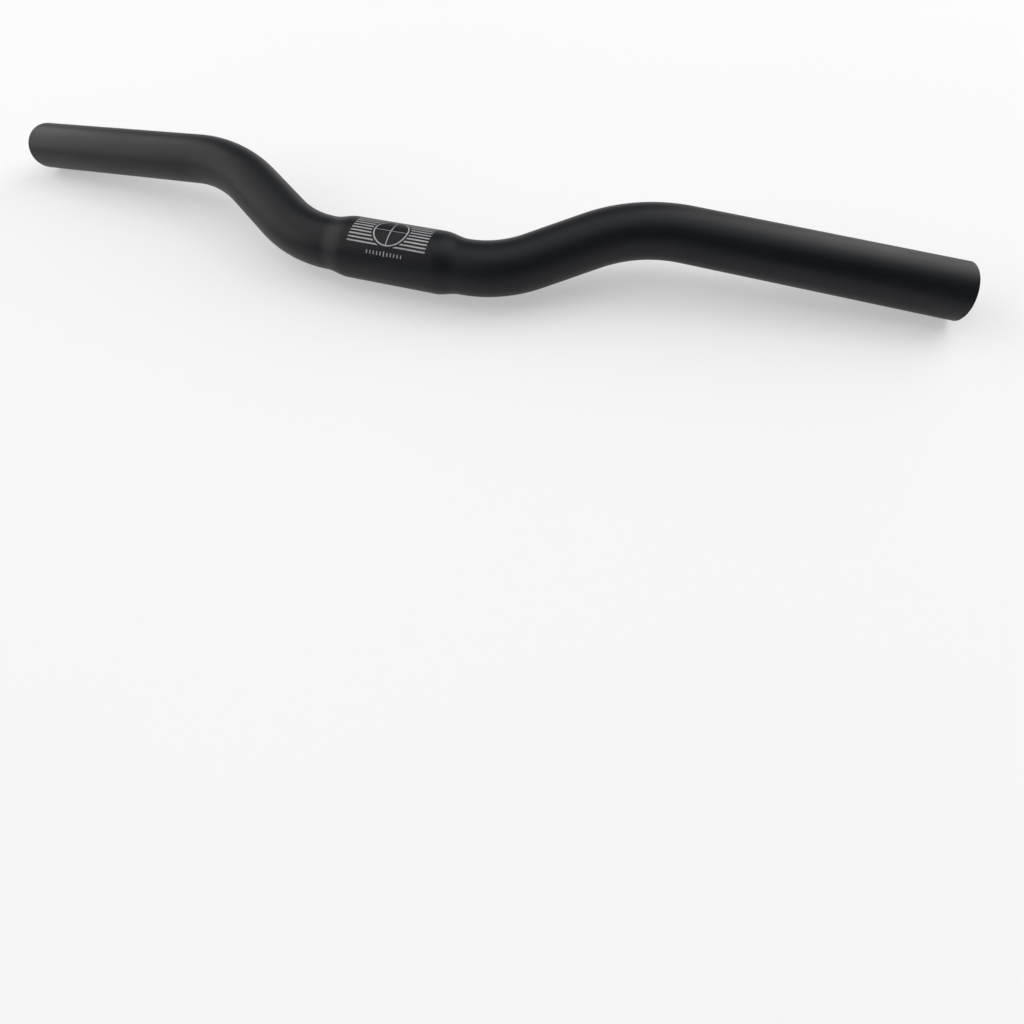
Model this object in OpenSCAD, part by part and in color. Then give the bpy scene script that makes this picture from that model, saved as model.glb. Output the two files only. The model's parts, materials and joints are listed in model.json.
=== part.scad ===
// Riser handlebar: one aluminium tube, swaged down on both sides of its clamp and
// bent twice on each side. It lies on its back, as it comes to rest on a table.
// X runs along the clamp towards the right-hand grip, Y along the table in the
// direction of the rise, and Z up. The origin is the centre of the clamp.

/* [Bar] */
// Overall width, from one end to the other
width = 420; // [400:5:560]
// Rise of the grips' axis over the clamp's axis
rise = 30; // [28:1:50]
// Angle by which the grips sweep back
backsweep = 6; // [2:0.5:12]
// Angle between the clamp's axis and the slopes up to the grips
slope_angle = 32; // [28:1:38]

/* [Tube] */
// Outer diameter at the clamp
clamp_d = 25.4; // [23:0.1:31.8]
// Outer diameter of the slopes and grips
grip_d = 22.2; // [19:0.1:22.6]
// Thickness of the tube's wall
wall = 2.2; // [1.4:0.1:3]
// Width of the chamfers on the rims of both ends
end_chamfer = 0.6; // [0.2:0.1:0.6]

/* [Lengths and bends] */
// Length of the straight stretch at the full clamp diameter
clamp_len = 38; // [30:1:50]
// Length of the swage on each side of it
swage_len = 10; // [5:0.5:15]
// Radius of the two bends next to the clamp, at the tube's axis
lower_bend_r = 50; // [40:1:60]
// Radius of the two bends next to the grips, at the tube's axis
upper_bend_r = 65; // [40:1:70]

/* [Hidden] */
$fn = 96;

// Cones that make up the smooth curve of one swage
swage_cones = 8;
// How far the bore is cut past the ends
cut_past = 1;
// Bending draws the tube in by this much, so a bend is a hair slimmer than its
// straight neighbours, and it reaches a little way into both of them
bend_draw = 0.04;
bend_lap = 0.2;

clamp_r = clamp_d / 2;
grip_r = grip_d / 2;

// The upper bend turns the tube from the slope's direction to the grip's, so it
// bends down and back at once, in a plane rolled about the slope's own axis.
upper_bend_angle = acos(cos(slope_angle) * cos(backsweep));
upper_bend_roll = atan2(-sin(backsweep), -sin(slope_angle) * cos(backsweep));

// Distance from the end of each bend to the corner where its two axes would cross
lower_corner = lower_bend_r * tan(slope_angle / 2);
upper_corner = upper_bend_r * tan(upper_bend_angle / 2);

// Straight stretch between the two bends, which takes up the rest of the rise
slope_len = rise / sin(slope_angle) - lower_corner - upper_corner;

// Straight grip, which takes up the rest of the width
swage_end = clamp_len / 2 + swage_len;
grip_corner_x = swage_end + lower_corner + rise / tan(slope_angle);
tip_x = width / 2 - (grip_r - end_chamfer) * sin(backsweep);
grip_len = (tip_x - grip_corner_x) / cos(backsweep) - upper_corner;

// The tip's lower rim, where the chamfer starts, as seen along the clamp with the bar
// upright: how far back and how far up its centre lies
rim_back = (upper_corner + grip_len - end_chamfer) * sin(backsweep);
rim_up = rise;

// Drop of the lower rim's lowest point under its centre, once the bar lies at an angle
function rim_drop(angle) = grip_r * sqrt(1 - pow(cos(angle) * sin(backsweep), 2));

// Angle between the rise and the table at which the clamp and both tips touch it,
// found by a few passes because the drop depends on the angle a little
function lying_angle(passes) =
    passes == 0 ? 0
    : let (drop = rim_drop(lying_angle(passes - 1)))
        atan2(rim_back, rim_up) + asin((drop - clamp_r) / norm([rim_back, rim_up]));

// Radius of the swage at a share of its length, as a smooth curve with no corners
function swage_radius(share, r1, r2) = r2 + (r1 - r2) * (1 + cos(180 * share)) / 2;

// The stretches below run up from the origin along Z and place their children at
// their far end, so that one after the other they make up the tube.

module straight(length, r) {
    cylinder(h = length, r = r);
    translate([0, 0, length]) children();
}

// Piece of a ring that turns from Z towards X, between the planes of both its ends
module bend(angle, bend_r, r) {
    reach = 2 * (bend_r + r);
    translate([bend_r, 0, 0]) {
        intersection() {
            rotate([90, 0, 0]) rotate_extrude() translate([bend_r, 0]) circle(r = r - bend_draw);
            translate([-reach, -reach, -bend_lap]) cube(2 * reach);
            rotate([0, angle, 0]) translate([-reach, -reach, bend_lap - 2 * reach]) cube(2 * reach);
        }
        rotate([0, angle, 0]) translate([-bend_r, 0, 0]) children();
    }
}

// Straight grip up to its tip, where a cone at 45 degrees chamfers the rim. It spreads
// by flare from where the chamfer starts, or draws in where flare is negative.
module grip(r, flare) {
    cone_start = grip_len - end_chamfer;
    cone_end = cone_start + abs(flare);
    rotate_extrude() polygon([
        [0, 0],
        [r, 0],
        [r, cone_start],
        [r + flare, cone_end],
        [0, cone_end],
    ]);
}

// Clamp stretch with the swages on both sides
module centre(r1, r2) {
    right_side = [
        for (i = [0 : swage_cones])
            [swage_radius(i / swage_cones, r1, r2), clamp_len / 2 + swage_len * i / swage_cones]
    ];
    left_side = [
        for (i = [swage_cones : -1 : 0])
            [right_side[i].x, -right_side[i].y]
    ];
    rotate([0, 90, 0]) rotate_extrude() polygon(concat(
        [[0, -swage_end]],
        left_side,
        right_side,
        [[0, swage_end]]
    ));
}

module arm(r, flare) {
    translate([swage_end, 0, 0]) rotate([0, -90, 180])
    bend(slope_angle, lower_bend_r, r)
    straight(slope_len, r)
    rotate([0, 0, upper_bend_roll])
    bend(upper_bend_angle, upper_bend_r, r)
    grip(r, flare);
}

// The form of the whole bar, upright as it is ridden, for its outside or for its bore
module bar_form(r1, r2, flare) {
    centre(r1, r2);
    arm(r2, flare);
    mirror([1, 0, 0]) arm(r2, flare);
}

module handlebar() {
    color("#222426") rotate([lying_angle(4) - 90, 0, 0]) difference() {
        bar_form(clamp_r, grip_r, -end_chamfer);
        bar_form(clamp_r - wall, grip_r - wall, end_chamfer + cut_past);
    }
}

handlebar();
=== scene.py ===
"""Looks of a short riser handlebar: one bent tube in satin black, with a printed centring mark.

Lengths are in millimetres until a mesh is made, and in metres from there on. The bar's
directions are along (its clamp's axis, towards the right-hand grip), up (its rise) and back
(towards the rider). All three come from the frame.
"""

import json
import math

import bmesh
import bpy
from mathutils import Matrix, Vector


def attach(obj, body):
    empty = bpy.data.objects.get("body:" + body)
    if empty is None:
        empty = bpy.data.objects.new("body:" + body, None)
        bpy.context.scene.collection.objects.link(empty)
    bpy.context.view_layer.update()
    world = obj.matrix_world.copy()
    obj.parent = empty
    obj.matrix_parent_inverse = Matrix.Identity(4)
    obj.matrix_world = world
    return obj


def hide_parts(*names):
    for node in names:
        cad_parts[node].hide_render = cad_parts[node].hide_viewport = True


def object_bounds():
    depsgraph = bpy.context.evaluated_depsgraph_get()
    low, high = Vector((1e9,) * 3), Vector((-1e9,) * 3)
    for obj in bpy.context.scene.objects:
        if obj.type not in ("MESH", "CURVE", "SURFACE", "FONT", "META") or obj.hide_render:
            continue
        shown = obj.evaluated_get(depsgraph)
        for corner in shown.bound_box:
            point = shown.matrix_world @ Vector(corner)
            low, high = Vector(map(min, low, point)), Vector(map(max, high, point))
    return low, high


MM = 0.001
BODY = "root"
NODE = "handlebar"

# Materials of the tube's surfaces, in the order in which the tube gets them
OUTSIDE, BORE, RIM = 0, 1, 2

# Bends and ends that the frame's record doesn't hold
SLOPE_ANGLE = math.radians(32)
LOWER_BEND_R = 50
UPPER_BEND_R = 65
SWAGE_LEN = 10
END_CHAMFER = 0.6

# How finely the tube is meshed
RING_POINTS = 160
BEND_STEP = math.radians(1.5)
CLAMP_STEPS = 6
SWAGE_STEPS = 32
STRAIGHT_STEP = 8

# Corners of both rims, and how far before its chamfer a rim's first ring lies
RIM_ROUNDING = 0.14
RIM_STEPS = 3
RIM_LEAD = 1.5

# Centring mark. Its middle is this angle up from the front of the clamp zone, and it is
# measured across (along the clamp) and round (up around the tube).
MARK_ANGLE = math.radians(21)
STRIPE_COUNT = 10
STRIPE_PITCH = 1.55
STRIPE_THICK = 0.64
STRIPE_REACH = 16.5
RING_R = 6.9
RING_THICK = 0.56
RING_GAP_R = 7.9
CROSS_UPRIGHT_THICK = 0.42
CROSS_LEVEL_THICK = 0.18

# Row of ticks under the ring. The middle one is longer by the factor.
TICK_COUNT = 11
TICK_PITCH = 1.45
TICK_THICK = 0.4
TICK_HEIGHT = 1.4
TICK_ROUND = -10.3
MIDDLE_TICK_FACTOR = 1.5

# Ink: how far it stands over the surface and reaches under it, how finely its patches are
# meshed, and how far back it fades out
INK_HEIGHT = 0.02
INK_SUNK = 0.05
INK_RING_POINTS = 120
INK_RING_ROWS = 4
INK_STRIPE_ROWS = 5
INK_STRIPE_COLUMNS = 10
INK_BLOCK_COLUMNS = 6
INK_BLOCK_STEP = 0.35
INK_FADE_REACH = 10

# Soft boxes stand this many metres from the bar. An area lamp needs these watts on each
# square metre for a radiance of 1.
SOFTBOX_DISTANCE = 2.6
WATTS_FOR_RADIANCE = 4

# Half the floor's width in metres, and the share of plain white in what the camera sees of it
FLOOR_HALF = 4
FLOOR_LIFT = 0.4

# Camera: its place in metres in the frame, its turns in degrees, and how near and how far it
# sees. Its lens axis meets the picture at the row AXIS_ROW, counted from the top.
CAMERA_PLACE = (0.11205, -0.16432, 0.18845)
CAMERA_TURN = (41.026, 3.74, 17.109)
CAMERA_CLIP = (0.01, 50)
FOCAL_PIXELS = 667.6
PICTURE_PIXELS = 1024
SENSOR_MM = 36
AXIS_ROW = 297.6


def rounded(corners, radius, steps):
    """The same outline with each inner corner turned into an arc. A corner is (forward, radius)."""
    out = [corners[0]]
    for before, corner, after in zip(corners, corners[1:], corners[2:]):
        a, b, c = Vector(before), Vector(corner), Vector(after)
        start = b + (a - b).normalized() * radius
        end = b + (c - b).normalized() * radius
        for i in range(steps + 1):
            t = i / steps
            p = start.lerp(b, t).lerp(b.lerp(end, t), t)
            out.append((p.x, p.y))
    out.append(corners[-1])
    return out


def spread(start, end, count):
    """Evenly spaced values from start to end, both included."""
    return [start + (end - start) * i / (count - 1) for i in range(count)]


class Bar:
    """The bar's sizes, directions and centreline, from the mounts in the frame's record."""

    def __init__(self, record):
        mounts = {m["name"]: m for m in record["mounts"]}
        clamp, grip, bore = mounts["stem_clamp"], mounts["right_grip"], mounts["right_end_bore"]
        self.clamp_r = clamp["dims"]["r_mm"]
        self.clamp_half = clamp["dims"]["length_mm"] / 2
        self.grip_r = grip["dims"]["r_mm"]
        self.wall = self.grip_r - bore["dims"]["r_mm"]
        self.along = Vector(clamp["axis"])
        self.grip_dir = Vector(grip["axis"]).normalized()
        sideways = self.grip_dir.dot(self.along) * self.along
        self.back = (self.grip_dir - sideways).normalized()
        self.up = self.along.cross(self.back)
        grip_mid = Vector(grip["pos_m"]) / MM
        self.rim_start = grip_mid + self.grip_dir * grip["dims"]["length_mm"] / 2
        self.rise = grip_mid.dot(self.up)
        self.slope_dir = math.cos(SLOPE_ANGLE) * self.along + math.sin(SLOPE_ANGLE) * self.up

    def radius_at(self, distance):
        """Outer radius at a distance from the middle, with the swage as a smooth curve."""
        share = min(max((distance - self.clamp_half) / SWAGE_LEN, 0), 1)
        return self.grip_r + (self.clamp_r - self.grip_r) * (1 + math.cos(math.pi * share)) / 2

    def right_half(self):
        """Stations from beside the middle to where the right rim's chamfer starts.

        A station is (centre, direction, outer radius).
        """
        out = []
        for i in range(1, CLAMP_STEPS + 1):
            self.add_centre(out, self.clamp_half * i / CLAMP_STEPS)
        for i in range(1, SWAGE_STEPS + 1):
            self.add_centre(out, self.clamp_half + SWAGE_LEN * i / SWAGE_STEPS)
        bend_angle = self.slope_dir.angle(self.grip_dir)
        lower_corner = LOWER_BEND_R * math.tan(SLOPE_ANGLE / 2)
        upper_corner = UPPER_BEND_R * math.tan(bend_angle / 2)
        slope_len = self.rise / math.sin(SLOPE_ANGLE) - (lower_corner + upper_corner)
        place = self.along * (self.clamp_half + SWAGE_LEN)
        place = self.add_bend(out, place, self.along, self.slope_dir, LOWER_BEND_R)
        place = self.add_straight(out, place, self.slope_dir, slope_len)
        place = self.add_bend(out, place, self.slope_dir, self.grip_dir, UPPER_BEND_R)
        grip_len = (self.rim_start - place).dot(self.grip_dir)
        self.add_straight(out, place, self.grip_dir, grip_len)
        return out

    def add_centre(self, out, distance):
        """Adds a station in the clamp zone or the swage, at a distance from the middle."""
        out.append((self.along * distance, self.along.copy(), self.radius_at(distance)))

    def add_bend(self, out, place, before, after, bend_r):
        """Adds an arc's stations from one direction to another, and returns where it ends."""
        angle = before.angle(after)
        axis = before.cross(after).normalized()
        centre = place + axis.cross(before) * bend_r
        steps = math.ceil(angle / BEND_STEP)
        for i in range(1, steps + 1):
            turn = Matrix.Rotation(angle * i / steps, 3, axis)
            out.append((centre + turn @ (place - centre), turn @ before, self.grip_r))
        return out[-1][0]

    def add_straight(self, out, place, direction, length):
        """Adds the stations of a straight stretch, and returns where it ends."""
        steps = math.ceil(length / STRAIGHT_STEP)
        for i in range(1, steps + 1):
            out.append((place + direction * length * i / steps, direction.copy(), self.grip_r))
        return out[-1][0]

    def stations(self):
        """All stations, from the left rim to the right one."""
        right = self.right_half()
        mirror = Matrix.Diagonal((-1, 1, 1))
        left = [(mirror @ c, -(mirror @ d), r) for c, d, r in reversed(right)]
        return left + [(Vector((0, 0, 0)), self.along.copy(), self.clamp_r)] + right

    def ring(self, centre, direction, radius):
        """Points of one ring around the centreline, all rings starting at the same side."""
        n = (self.up - self.up.dot(direction) * direction).normalized()
        b = direction.cross(n)
        turns = [2 * math.pi * j / RING_POINTS for j in range(RING_POINTS)]
        return [centre + (n * math.cos(t) + b * math.sin(t)) * radius for t in turns]

    def on_clamp(self, across, around, height):
        """Point at a height over the clamp zone, across and around from the mark's middle."""
        angle = MARK_ANGLE + around / self.clamp_r
        outward = math.sin(angle) * self.up - math.cos(angle) * self.back
        return self.along * across + outward * (self.clamp_r + height)


def mesh_object(name, points, faces, smooth=True):
    """A mesh object from points in millimetres."""
    mesh = bpy.data.meshes.new(name)
    mesh.from_pydata([Vector(p) * MM for p in points], [], faces)
    bm = bmesh.new()
    bm.from_mesh(mesh)
    bmesh.ops.recalc_face_normals(bm, faces=bm.faces)
    for face in bm.faces:
        face.smooth = smooth
    bm.to_mesh(mesh)
    bm.free()
    obj = bpy.data.objects.new(name, mesh)
    bpy.context.scene.collection.objects.link(obj)
    return obj


def tube(bar):
    """The whole tube: outside, both rims with their chamfers, and bore, as one closed mesh.

    Each of its rings comes with the material of the faces between it and the next ring.
    """
    stations = bar.stations()
    bore_r = bar.grip_r - bar.wall
    rim = rounded(
        [
            (-RIM_LEAD, bar.grip_r),
            (0, bar.grip_r),
            (END_CHAMFER, bar.grip_r - END_CHAMFER),
            (END_CHAMFER, bore_r + END_CHAMFER),
            (0, bore_r),
            (-RIM_LEAD, bore_r),
        ],
        RIM_ROUNDING,
        RIM_STEPS,
    )
    cut = [RIM] * (len(rim) - 3)
    rings = []
    for centre, direction, radius in stations[1:-1]:
        rings.append((bar.ring(centre, direction, radius), OUTSIDE))
    centre, direction, _ = stations[-1]
    for (forward, radius), kind in zip(rim, [OUTSIDE] + cut + [BORE, BORE]):
        rings.append((bar.ring(centre + direction * forward, direction, radius), kind))
    for centre, direction, radius in reversed(stations[1:-1]):
        rings.append((bar.ring(centre, direction, radius - bar.wall), BORE))
    centre, direction, _ = stations[0]
    for (forward, radius), kind in zip(reversed(rim), [BORE] + cut + [OUTSIDE, OUTSIDE]):
        rings.append((bar.ring(centre - direction * forward, direction, radius), kind))
    points = [p for ring, _ in rings for p in ring]
    faces, kinds = [], []
    for i, (_, kind) in enumerate(rings):
        a, b = i * RING_POINTS, (i + 1) % len(rings) * RING_POINTS
        for j in range(RING_POINTS):
            k = (j + 1) % RING_POINTS
            faces.append((a + j, b + j, b + k, a + k))
            kinds.append(kind)
    obj = mesh_object(NODE + "_tube", points, faces)
    obj.data.polygons.foreach_set("material_index", kinds)
    return obj


def ink_sheet(bar, grid, closed):
    """Points and faces of one thin printed patch. A grid is rows of (across, around).

    A closed grid's last column joins its first, as in a ring.
    """
    rows, columns = len(grid), len(grid[0])
    points = [bar.on_clamp(x, y, INK_HEIGHT) for row in grid for x, y in row]
    points += [bar.on_clamp(x, y, -INK_SUNK) for row in grid for x, y in row]
    below = rows * columns
    last = below - columns
    faces = []
    for j in range(columns if closed else columns - 1):
        k = (j + 1) % columns
        for a in range(0, last, columns):
            b = a + columns
            quad = (a + j, a + k, b + k, b + j)
            faces.append(quad)
            faces.append(tuple(below + v for v in reversed(quad)))
        faces.append((j, below + j, below + k, k))
        faces.append((last + k, below + last + k, below + last + j, last + j))
    if not closed:
        for a in range(0, last, columns):
            b = a + columns
            faces.append((a, b, below + b, below + a))
            a_end, b_end = b - 1, b + columns - 1
            faces.append((b_end, a_end, below + a_end, below + b_end))
    return points, faces


def ink_object(bar, name, sheets, material):
    """One piece made of several printed patches. A patch is (grid, whether it is closed)."""
    points, faces = [], []
    for grid, closed in sheets:
        more, quads = ink_sheet(bar, grid, closed)
        faces += [tuple(len(points) + v for v in quad) for quad in quads]
        points += more
    obj = mesh_object(name, points, faces, smooth=False)
    obj.data.materials.append(material)
    return obj


def block(x0, x1, y0, y1):
    """Patch of a plain rectangle, fine enough around the tube to follow its curve."""
    rows = max(2, math.ceil(abs(y1 - y0) / INK_BLOCK_STEP) + 1)
    columns = spread(x0, x1, INK_BLOCK_COLUMNS)
    return [[(x, y) for x in columns] for y in spread(y0, y1, rows)], False


def stripes():
    """Stripes on both sides of the ring, whose inner ends follow a wider circle around it."""
    out = []
    for i in range(STRIPE_COUNT):
        middle = (i - (STRIPE_COUNT - 1) / 2) * STRIPE_PITCH
        for side in (-1, 1):
            grid = []
            for y in spread(middle - STRIPE_THICK / 2, middle + STRIPE_THICK / 2, INK_STRIPE_ROWS):
                start = math.sqrt(RING_GAP_R**2 - y**2)
                columns = spread(start, STRIPE_REACH, INK_STRIPE_COLUMNS)
                grid.append([(side * x, y) for x in columns])
            out.append((grid, False))
    return out


def ring_and_cross():
    """Ring with an upright and a level line through its middle, up to the ring's inner edge."""
    turns = [2 * math.pi * i / INK_RING_POINTS for i in range(INK_RING_POINTS)]
    radii = spread(RING_R - RING_THICK / 2, RING_R + RING_THICK / 2, INK_RING_ROWS)
    ring = [[(r * math.cos(t), r * math.sin(t)) for t in turns] for r in radii]
    reach = RING_R - RING_THICK / 2
    arm = CROSS_UPRIGHT_THICK / 2
    thin = CROSS_LEVEL_THICK / 2
    return [
        (ring, True),
        block(-arm, arm, -reach, reach),
        block(-reach, -arm, -thin, thin),
        block(arm, reach, -thin, thin),
    ]


def ticks():
    """Row of plain ticks under the ring, to set the bar in its clamp by."""
    out = []
    for i in range(TICK_COUNT):
        step = i - (TICK_COUNT - 1) / 2
        x = step * TICK_PITCH
        half = TICK_HEIGHT / 2 * (MIDDLE_TICK_FACTOR if step == 0 else 1)
        left, right = x - TICK_THICK / 2, x + TICK_THICK / 2
        out.append(block(left, right, TICK_ROUND - half, TICK_ROUND + half))
    return out


def new_material(name):
    """A material, its node tree and the shader in it."""
    material = bpy.data.materials.new(name)
    material.use_nodes = True
    tree = material.node_tree
    return material, tree, tree.nodes["Principled BSDF"]


def coordinates(tree):
    """A coordinate node's outputs. Object is the object's own place, in metres."""
    return tree.nodes.new("ShaderNodeTexCoord").outputs


def noise(tree, place, scale, detail, stretch=(1, 1, 1)):
    """A noise texture in the object's own place, with its scale in features per metre."""
    mapping = tree.nodes.new("ShaderNodeMapping")
    mapping.inputs["Scale"].default_value = stretch
    tree.links.new(place["Object"], mapping.inputs["Vector"])
    node = tree.nodes.new("ShaderNodeTexNoise")
    node.inputs["Scale"].default_value = scale
    node.inputs["Detail"].default_value = detail
    tree.links.new(mapping.outputs["Vector"], node.inputs["Vector"])
    return node.outputs["Fac"]


def part_of(tree, vector, letter):
    """One of a vector's parts: X, Y or Z."""
    node = tree.nodes.new("ShaderNodeSeparateXYZ")
    tree.links.new(vector, node.inputs["Vector"])
    return node.outputs[letter]


def ramp(tree, value, *stops):
    """A colour ramp over a value. A stop is (position, colour or grey level)."""
    node = tree.nodes.new("ShaderNodeValToRGB")
    elements = node.color_ramp.elements
    for i, (position, colour) in enumerate(stops):
        element = elements[i] if i < len(elements) else elements.new(position)
        element.position = position
        element.color = (*colour, 1) if isinstance(colour, tuple) else (colour, colour, colour, 1)
    tree.links.new(value, node.inputs["Fac"])
    return node.outputs["Color"]


def mix(tree, share, one, other):
    """Mixes two colours by a share."""
    node = tree.nodes.new("ShaderNodeMix")
    node.data_type = "RGBA"
    tree.links.new(share, node.inputs["Factor"])
    for socket, value in ((node.inputs["A"], one), (node.inputs["B"], other)):
        if isinstance(value, tuple):
            socket.default_value = (*value, 1)
        else:
            tree.links.new(value, socket)
    return node.outputs["Result"]


def calculate(tree, operation, one, other):
    """A step of arithmetic on two values, each a number or another node's output."""
    node = tree.nodes.new("ShaderNodeMath")
    node.operation = operation
    for socket, value in zip(node.inputs, (one, other)):
        if isinstance(value, float):
            socket.default_value = value
        else:
            tree.links.new(value, socket)
    return node.outputs["Value"]


def add_bump(tree, shader, height, distance, strength):
    """Raises the shader's surface by a height, over a distance in metres."""
    node = tree.nodes.new("ShaderNodeBump")
    node.inputs["Strength"].default_value = strength
    node.inputs["Distance"].default_value = distance
    tree.links.new(height, node.inputs["Height"])
    tree.links.new(node.outputs["Normal"], shader.inputs["Normal"])


def satin_black():
    """Blasted and black anodised aluminium: an even satin with a very fine grain.

    Faint clouds and specks in its colour, and patches in its sheen, break it up.
    """
    material, tree, shader = new_material("satin_black")
    place = coordinates(tree)
    clouds = ramp(
        tree,
        noise(tree, place, scale=22, detail=3),
        (0.3, (0.0035, 0.0045, 0.0068)),
        (0.7, (0.0052, 0.0063, 0.0088)),
    )
    specks = ramp(tree, noise(tree, place, scale=900, detail=4), (0.66, 0.0), (0.74, 1.0))
    colour = mix(tree, specks, clouds, (0.009, 0.0095, 0.0115))
    tree.links.new(colour, shader.inputs["Base Color"])
    patches = noise(tree, place, scale=60, detail=5, stretch=(0.5, 1, 1))
    tree.links.new(ramp(tree, patches, (0.3, 0.4), (0.7, 0.48)), shader.inputs["Roughness"])
    shader.inputs["Specular IOR Level"].default_value = 0.25
    grain = noise(tree, place, scale=2600, detail=2)
    add_bump(tree, shader, grain, distance=0.02 * MM, strength=0.5)
    return material


def bore_black():
    """The bore, where the blasting doesn't reach: duller, with the lines of the drawn tube."""
    material, tree, shader = new_material("bore_black")
    lines = noise(tree, coordinates(tree), scale=420, detail=3, stretch=(0.02, 1, 1))
    tree.links.new(ramp(tree, lines, (0.35, 0.008), (0.65, 0.02)), shader.inputs["Base Color"])
    shader.inputs["Roughness"].default_value = 0.62
    shader.inputs["Specular IOR Level"].default_value = 0.3
    add_bump(tree, shader, lines, distance=0.04 * MM, strength=0.4)
    return material


def rim_black():
    """The rims at both ends with their chamfers, in a darker black with less sheen than the
    outside.
    """
    material, tree, shader = new_material("rim_black")
    grain = noise(tree, coordinates(tree), scale=1500, detail=3)
    tree.links.new(ramp(tree, grain, (0.35, 0.0025), (0.65, 0.0045)), shader.inputs["Base Color"])
    shader.inputs["Roughness"].default_value = 0.6
    shader.inputs["Specular IOR Level"].default_value = 0.1
    return material


def print_ink():
    """Pale grey printing ink, a little thin and uneven, so that the black shows through.

    It wears thinner towards the back.
    """
    material, tree, shader = new_material("print_ink")
    place = coordinates(tree)
    shade = ramp(
        tree,
        noise(tree, place, scale=150, detail=3),
        (0.3, (0.31, 0.31, 0.325)),
        (0.7, (0.44, 0.44, 0.45)),
    )
    pits = ramp(tree, noise(tree, place, scale=2200, detail=4), (0.3, 0.75), (0.42, 0.0))
    far = calculate(tree, "DIVIDE", part_of(tree, place["Object"], "Y"), INK_FADE_REACH * MM)
    worn = ramp(tree, far, (0.05, 0.0), (0.75, 0.65))
    thin = calculate(tree, "MAXIMUM", pits, worn)
    colour = mix(tree, thin, shade, (0.03, 0.03, 0.034))
    tree.links.new(colour, shader.inputs["Base Color"])
    shader.inputs["Roughness"].default_value = 0.5
    shader.inputs["Specular IOR Level"].default_value = 0.3
    return material


def pale_floor():
    """Pale floor, lifted towards white for the camera and for mirrored rays.

    The bar still shades it.
    """
    material, tree, shader = new_material("pale_floor")
    tint = ramp(
        tree,
        noise(tree, coordinates(tree), scale=3, detail=2),
        (0.3, (0.89, 0.89, 0.895)),
        (0.7, (0.91, 0.91, 0.91)),
    )
    tree.links.new(tint, shader.inputs["Base Color"])
    shader.inputs["Roughness"].default_value = 0.9
    shader.inputs["Specular IOR Level"].default_value = 0.1
    ray = tree.nodes.new("ShaderNodeLightPath").outputs
    seen = calculate(tree, "MAXIMUM", ray["Is Camera Ray"], ray["Is Glossy Ray"])
    seen = calculate(tree, "MAXIMUM", seen, ray["Is Transmission Ray"])
    white = tree.nodes.new("ShaderNodeEmission")
    blend = tree.nodes.new("ShaderNodeMixShader")
    tree.links.new(calculate(tree, "MULTIPLY", seen, FLOOR_LIFT), blend.inputs["Fac"])
    tree.links.new(shader.outputs["BSDF"], blend.inputs[1])
    tree.links.new(white.outputs["Emission"], blend.inputs[2])
    tree.links.new(blend.outputs["Shader"], tree.nodes["Material Output"].inputs["Surface"])
    return material


def add_floor(level):
    """Wide pale floor at the height of the bar's lowest point."""
    half = FLOOR_HALF
    outline = ((-half, -half), (half, -half), (half, half), (-half, half))
    corners = [(x, y, level) for x, y in outline]
    mesh = bpy.data.meshes.new("floor")
    mesh.from_pydata(corners, [], [(0, 1, 2, 3)])
    mesh.materials.append(pale_floor())
    obj = bpy.data.objects.new("floor", mesh)
    bpy.context.scene.collection.objects.link(obj)


def add_softbox(name, bearing, height_angle, width, height, radiance, colour):
    """Area lamp that faces the bar.

    Its bearing in degrees runs from straight behind the bar towards the right.
    """
    across, up = math.radians(bearing), math.radians(height_angle)
    level = math.cos(up)
    outward = Vector((math.sin(across) * level, math.cos(across) * level, math.sin(up)))
    lamp = bpy.data.lights.new(name, "AREA")
    lamp.shape = "RECTANGLE"
    lamp.size = width
    lamp.size_y = height
    lamp.energy = radiance * WATTS_FOR_RADIANCE * width * height
    lamp.color = colour
    obj = bpy.data.objects.new(name, lamp)
    obj.location = outward * SOFTBOX_DISTANCE
    obj.rotation_euler = outward.to_track_quat("Z", "Y").to_euler()
    bpy.context.scene.collection.objects.link(obj)


def add_lights():
    """Three soft boxes: a strong one behind on the right, one on the left, and one overhead."""
    add_softbox(
        "right_softbox",
        bearing=37,
        height_angle=33,
        width=2.2,
        height=2.45,
        radiance=2.25,
        colour=(1, 0.985, 0.96),
    )
    add_softbox(
        "left_softbox",
        bearing=-98,
        height_angle=32,
        width=3.9,
        height=2.3,
        radiance=1.5,
        colour=(1, 0.965, 0.955),
    )
    add_softbox(
        "top_softbox",
        bearing=0,
        height_angle=78,
        width=2.9,
        height=2.6,
        radiance=1,
        colour=(1, 1, 1),
    )


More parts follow.
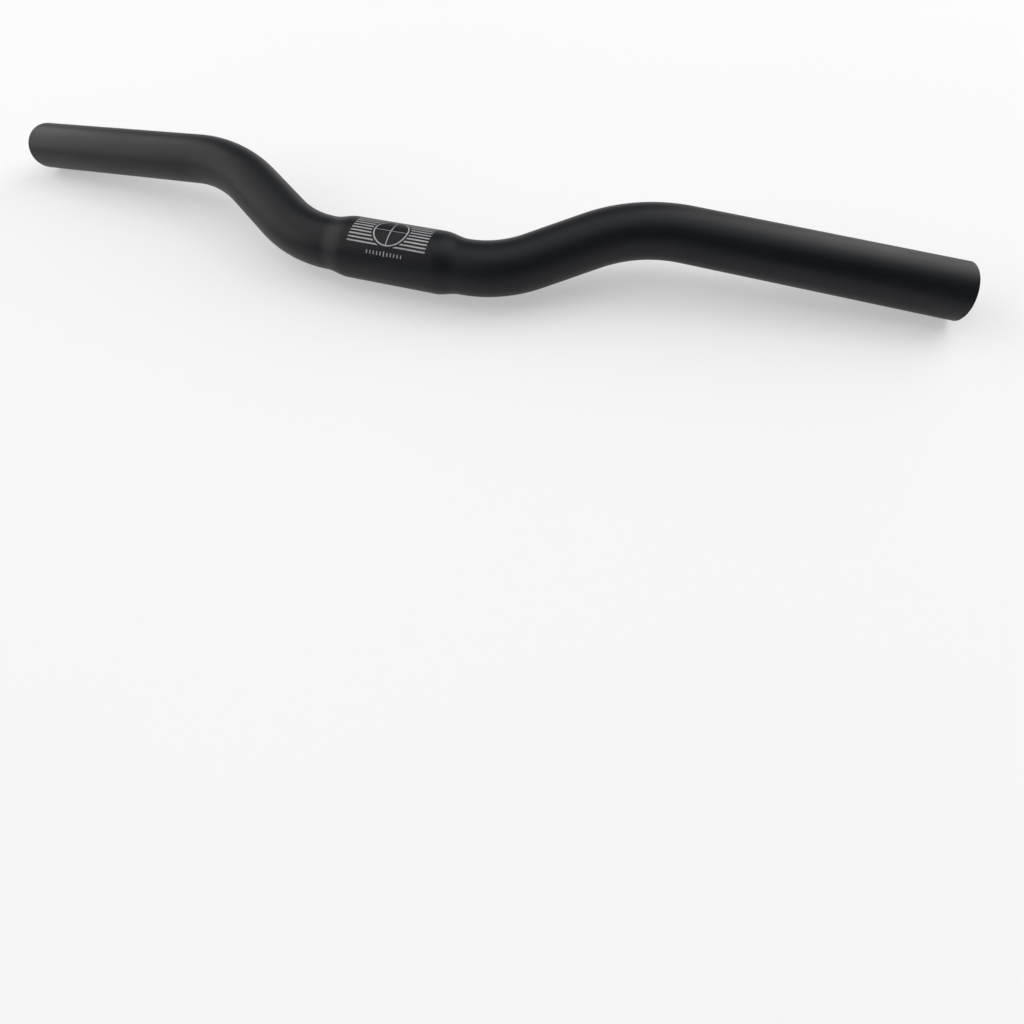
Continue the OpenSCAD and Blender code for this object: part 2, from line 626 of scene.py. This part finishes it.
def add_room():
    """World light of a room that is pale at the horizon and dim higher up."""
    world = bpy.data.worlds.new("room")
    world.use_nodes = True
    tree = world.node_tree
    shade = ramp(
        tree,
        part_of(tree, coordinates(tree)["Generated"], "Z"),
        (0.0, (0.5, 0.5, 0.51)),
        (0.2, (0.28, 0.285, 0.3)),
        (0.45, (0.075, 0.08, 0.085)),
    )
    tree.links.new(shade, tree.nodes["Background"].inputs["Color"])
    bpy.context.scene.world = world


def add_camera():
    """Camera where the photograph was taken from.

    Its small shift brings the lens axis to the row AXIS_ROW instead of the middle one.
    """
    camera = bpy.data.cameras.new("camera")
    camera.sensor_width = SENSOR_MM
    camera.lens = FOCAL_PIXELS / PICTURE_PIXELS * SENSOR_MM
    camera.shift_y = (AXIS_ROW - PICTURE_PIXELS / 2) / PICTURE_PIXELS
    camera.clip_start, camera.clip_end = CAMERA_CLIP
    obj = bpy.data.objects.new("camera", camera)
    obj.location = CAMERA_PLACE
    obj.rotation_euler = [math.radians(a) for a in CAMERA_TURN]
    bpy.context.scene.collection.objects.link(obj)
    bpy.context.scene.camera = obj


def as_lists(box):
    return [[float(x) for x in corner] for corner in box]


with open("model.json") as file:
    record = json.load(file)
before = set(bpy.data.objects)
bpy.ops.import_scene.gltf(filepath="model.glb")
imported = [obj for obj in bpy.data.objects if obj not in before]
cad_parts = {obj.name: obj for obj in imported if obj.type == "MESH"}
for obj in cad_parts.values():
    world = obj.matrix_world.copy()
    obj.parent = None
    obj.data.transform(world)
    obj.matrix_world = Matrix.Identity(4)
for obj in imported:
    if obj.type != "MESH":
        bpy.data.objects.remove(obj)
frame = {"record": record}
cad_box = as_lists(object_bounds())
bar = Bar(frame["record"])

bar_tube = tube(bar)
for material in (satin_black(), bore_black(), rim_black()):
    bar_tube.data.materials.append(material)
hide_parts(NODE)

ink = print_ink()
pieces = [
    bar_tube,
    ink_object(bar, "mark_stripes", stripes(), ink),
    ink_object(bar, "mark_ring_and_cross", ring_and_cross(), ink),
    ink_object(bar, "mark_ticks", ticks(), ink),
]
for piece in pieces:
    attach(piece, BODY)

add_floor(cad_box[0][2])
add_lights()
add_room()
add_camera()
bpy.context.scene.view_settings.view_transform = "Standard"
